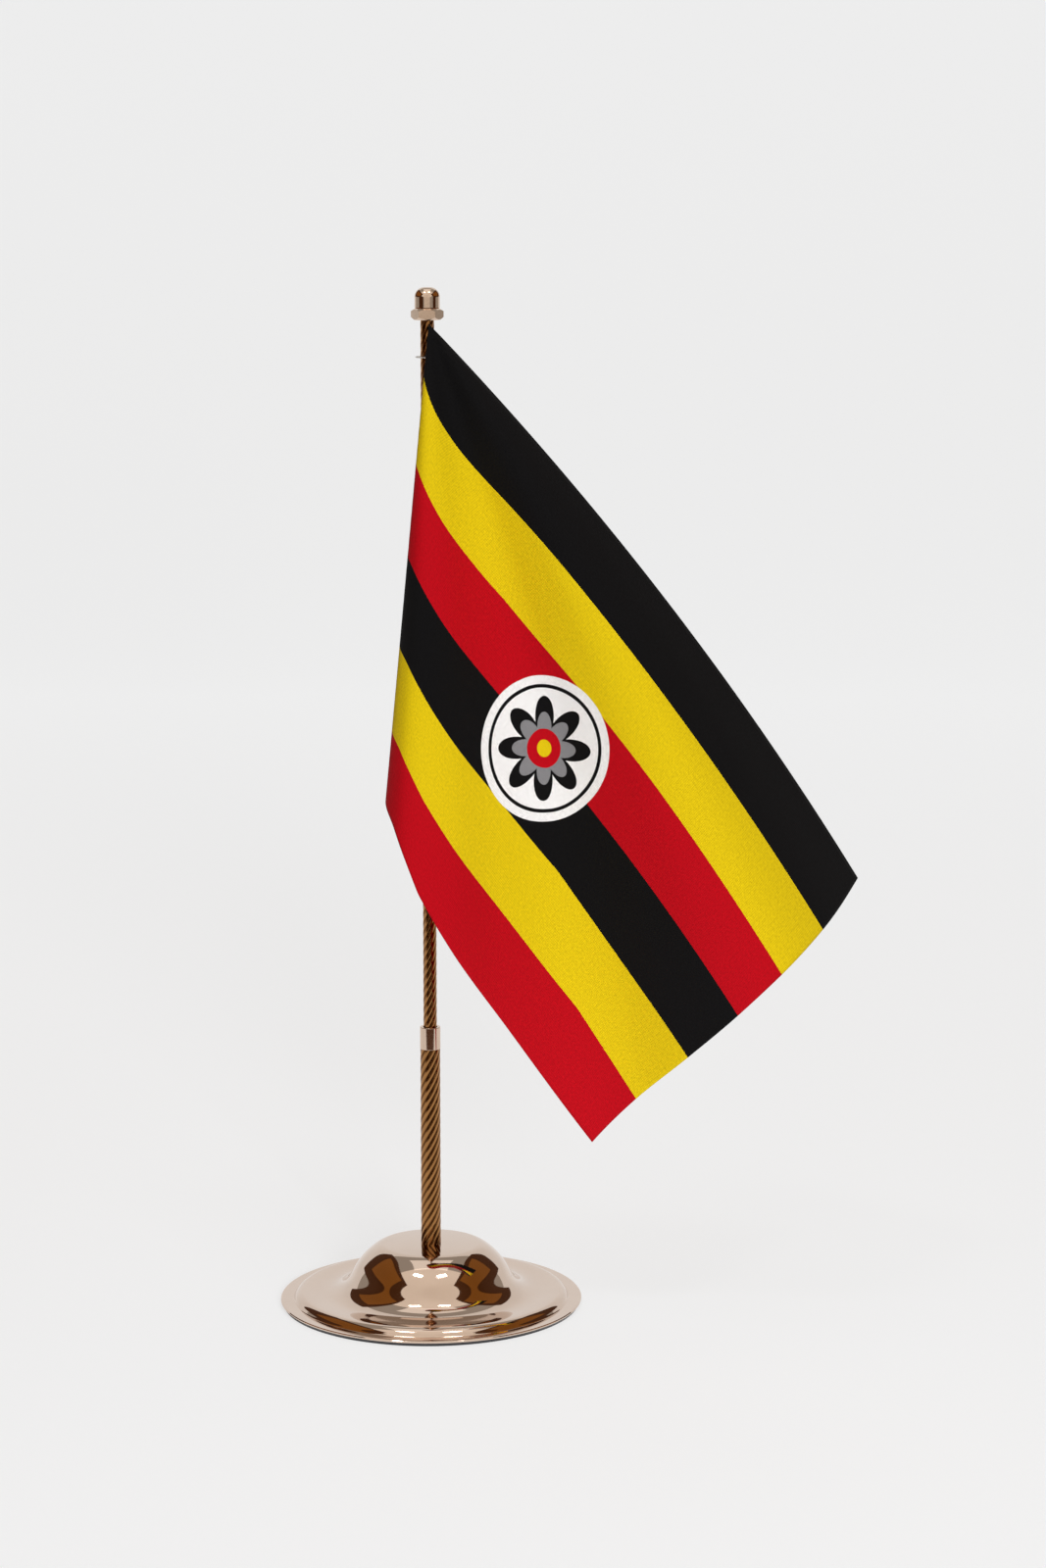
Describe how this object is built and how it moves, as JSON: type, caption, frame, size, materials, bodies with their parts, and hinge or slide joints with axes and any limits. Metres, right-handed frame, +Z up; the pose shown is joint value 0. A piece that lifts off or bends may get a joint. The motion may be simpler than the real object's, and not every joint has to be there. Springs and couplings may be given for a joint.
{
  "type": "tabletop flag stand",
  "caption": "Tabletop flag stand: round domed metal base, telescopic twisted pole with a dome nut on top, and a small rectangular flag tied to the pole.",
  "frame": {"origin": "on the table under the pole's axis, in the middle of the base's felt", "axes": "+Z up along the pole; +X the way the flag flies; the front of the flag faces -Y"},
  "size_m": [0.2068, 0.108, 0.3616],
  "materials": {
    "base_metal": "mirror polished spun sheet",
    "pole_metal": "polished, spirally fluted",
    "fitting_metal": "polished",
    "iron": "as cast",
    "steel": "zinc plated",
    "felt": "felt",
    "nylon": "moulded",
    "flag_fabric": "printed woven polyester",
    "tape_fabric": "folded woven tape",
    "cord_fabric": "clear nylon line"
  },
  "bodies": {
    "stand": {"base_shell": "base_metal", "base_weight": "iron", "base_pad": "felt", "pole_screw": "steel", "screw_washer": "steel", "foot_plug": "steel", "lower_tube": "pole_metal", "collar": "fitting_metal", "guide_bush": "nylon"},
    "slider": {"friction_sleeve": "nylon"},
    "mast": {"end_stud": "steel", "sleeve_clip": "steel", "upper_tube": "pole_metal", "top_stud": "steel"},
    "finial": {"finial": "fitting_metal"},
    "flag": {"flag_cloth": "flag_fabric", "hoist_tape": "tape_fabric", "top_loop": "cord_fabric", "bottom_loop": "cord_fabric"}
  },
  "joints": [
    {"name": "mast_slide", "type": "slide", "parent": "stand", "child": "slider", "axis": [0, 0, 1], "range_m": [-0.038, 0.008]},
    {"name": "mast_turn", "type": "hinge", "parent": "slider", "child": "mast", "pos_m": [0, 0, 0.08], "axis": [0, 0, 1], "continuous": true},
    {"name": "finial_lift", "type": "slide", "parent": "mast", "child": "finial", "axis": [0, 0, 1], "range_m": [0, 0.008]},
    {"name": "flag_swing", "type": "hinge", "parent": "mast", "child": "flag", "pos_m": [0, 0, 0.2], "axis": [0, 0, 1], "continuous": true}
  ]
}
